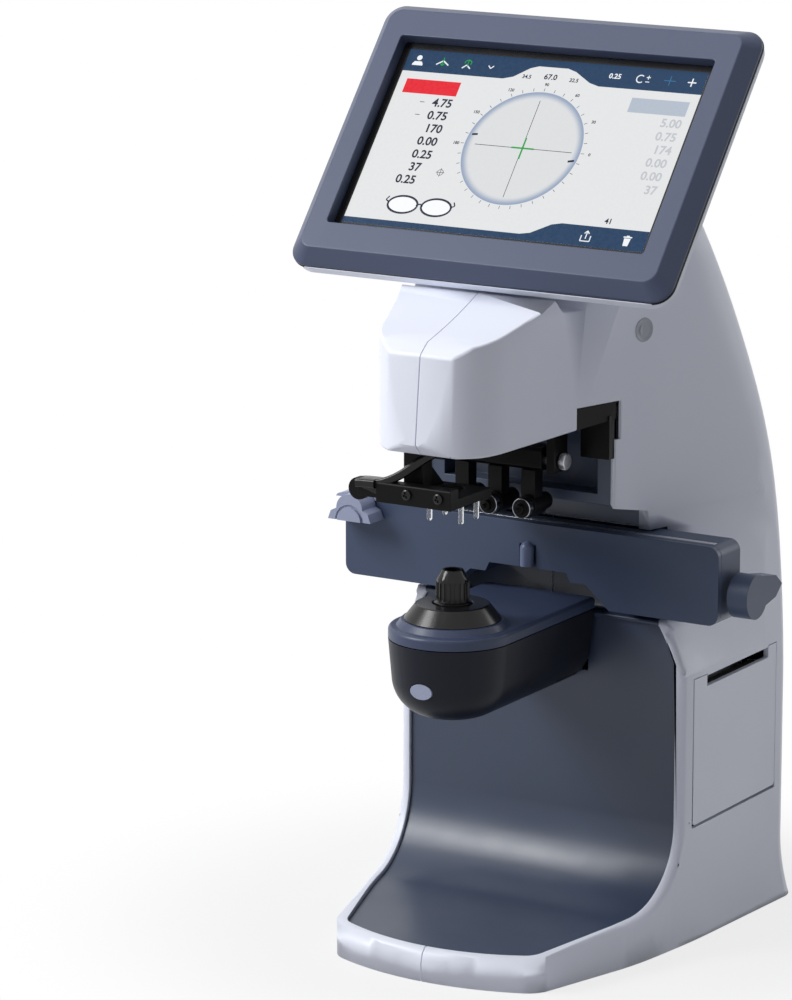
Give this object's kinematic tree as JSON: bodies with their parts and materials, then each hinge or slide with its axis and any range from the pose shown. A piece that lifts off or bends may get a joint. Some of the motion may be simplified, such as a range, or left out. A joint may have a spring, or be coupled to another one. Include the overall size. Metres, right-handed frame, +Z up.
{
  "type": "auto lensmeter",
  "caption": "Desk auto lensmeter with tilting touch display, sliding lens table, lens holder, marking pens, side printer and measuring arm.",
  "frame": {"origin": "middle of the base's depth and width, on the face it stands on", "axes": "+Z up, -Y towards the user, +X to the user's right"},
  "size_m": [0.212, 0.2186, 0.4139],
  "materials": {
    "shell_white": "satin",
    "panel_dark": "satin",
    "bezel_grey": "satin",
    "black_plastic": "matt",
    "arm_navy": "satin",
    "lavender_plastic": "satin",
    "rubber_black": "matt",
    "steel": "brushed",
    "chrome": "polished",
    "sheet_metal": "mill",
    "lens_glass": "polished",
    "touch_glass": "polished",
    "board_green": "satin",
    "clear_pin": "clear",
    "thermal_paper": "matt",
    "bush_bronze": "machined"
  },
  "bodies": {
    "stand": {"shell_left": "shell_white", "shell_right": "shell_white", "front_panel": "panel_dark", "recess_panel": "panel_dark", "neck_plates": "black_plastic", "base_plate": "black_plastic", "rubber_feet": "rubber_black", "chassis": "sheet_metal", "arm_lower_shell": "arm_navy", "arm_bracket": "sheet_metal", "arm_cap": "bezel_grey", "nosepiece_ring": "black_plastic", "arm_objective": "lens_glass", "sensor_board": "board_green", "table_guide_bushes": "bush_bronze", "head_underplate": "black_plastic", "holder_guide": "sheet_metal", "source_tube": "black_plastic", "collimator_lens": "lens_glass", "marker_bracket": "black_plastic", "display_bracket": "sheet_metal", "printer_frame": "black_plastic", "thermal_head": "sheet_metal", "paper_spindle": "black_plastic", "power_supply": "sheet_metal", "main_board": "board_green", "rear_panel": "black_plastic", "panel_screws": "steel", "power_inlet": "black_plastic", "switch_body": "black_plastic", "side_plugs": "lavender_plastic"},
    "display": {"display_bezel": "bezel_grey", "touch_panel": "touch_glass", "display_module": "sheet_metal", "display_housing": "shell_white", "display_hinge_shaft": "steel"},
    "table": {"lens_table": "bezel_grey", "table_fascia": "bezel_grey", "pd_rail": "steel", "table_guide_rods": "steel"},
    "lever": {"table_lever": "bezel_grey", "lever_shaft": "steel"},
    "pd_gauge": {"pd_slider": "lavender_plastic"},
    "holder": {"lens_holder_arm": "black_plastic", "lens_holder_block": "black_plastic", "holder_pins": "clear_pin", "holder_screws": "chrome", "thumb_lever": "black_plastic"},
    "marker": {"marker_crossbar": "black_plastic", "marker_posts": "black_plastic", "marker_pens": "black_plastic", "marker_bands": "chrome", "marker_axle": "steel"},
    "button": {"read_button": "lavender_plastic"},
    "lens_rest": {"nosepiece": "black_plastic"},
    "printer_door": {"printer_cover": "shell_white", "printer_hinge_pins": "steel"},
    "platen": {"platen_roller": "rubber_black"},
    "paper": {"paper_roll": "thermal_paper"},
    "rocker": {"power_switch": "black_plastic"}
  },
  "joints": [
    {"name": "display_tilt", "type": "hinge", "parent": "stand", "child": "display", "pos_m": [0, 0.00267, 0.34309], "axis": [-1, 0, 0], "range_deg": [0, 20]},
    {"name": "table_slide", "type": "slide", "parent": "stand", "child": "table", "axis": [0, -1, 0], "range_m": [0, 0.04]},
    {"name": "lever_turn", "type": "hinge", "parent": "table", "child": "lever", "pos_m": [0.1, -0.0035, 0.1676], "axis": [1, 0, 0], "range_deg": [0, 71]},
    {"name": "pd_slide", "type": "slide", "parent": "table", "child": "pd_gauge", "axis": [1, 0, 0], "range_m": [0, 0.15]},
    {"name": "holder_lift", "type": "slide", "parent": "stand", "child": "holder", "axis": [0, 0, -1], "range_m": [0, 0.018]},
    {"name": "marker_swing", "type": "hinge", "parent": "stand", "child": "marker", "pos_m": [0, -0.04, 0.227], "axis": [-1, 0, 0], "range_deg": [0, 35]},
    {"name": "read_press", "type": "slide", "parent": "stand", "child": "button", "axis": [0, 1, 0], "range_m": [0, 0.0012], "stiffness_N_per_m": 300, "springref_m": -0.0008},
    {"name": "lens_rest_lift", "type": "slide", "parent": "stand", "child": "lens_rest", "axis": [0, 0, 1], "range_m": [0, 0.012]},
    {"name": "printer_door_open", "type": "hinge", "parent": "stand", "child": "printer_door", "pos_m": [0.074, 0.042, 0.057], "axis": [0, 1, 0], "range_deg": [0, 80]},
    {"name": "platen_spin", "type": "hinge", "parent": "printer_door", "child": "platen", "pos_m": [0.067, 0.046, 0.111], "axis": [0, 1, 0], "continuous": true},
    {"name": "paper_spin", "type": "hinge", "parent": "stand", "child": "paper", "pos_m": [0.042, 0.046, 0.084], "axis": [0, 1, 0], "continuous": true},
    {"name": "switch_rock", "type": "hinge", "parent": "stand", "child": "rocker", "pos_m": [0.022, 0.1, 0.044], "axis": [0, 0, 1], "range_deg": [-7, 7]}
  ],
  "couplings": [
    {"joint": "lever_turn", "follows": "table_slide", "rad_per_m": 30.5}
  ]
}
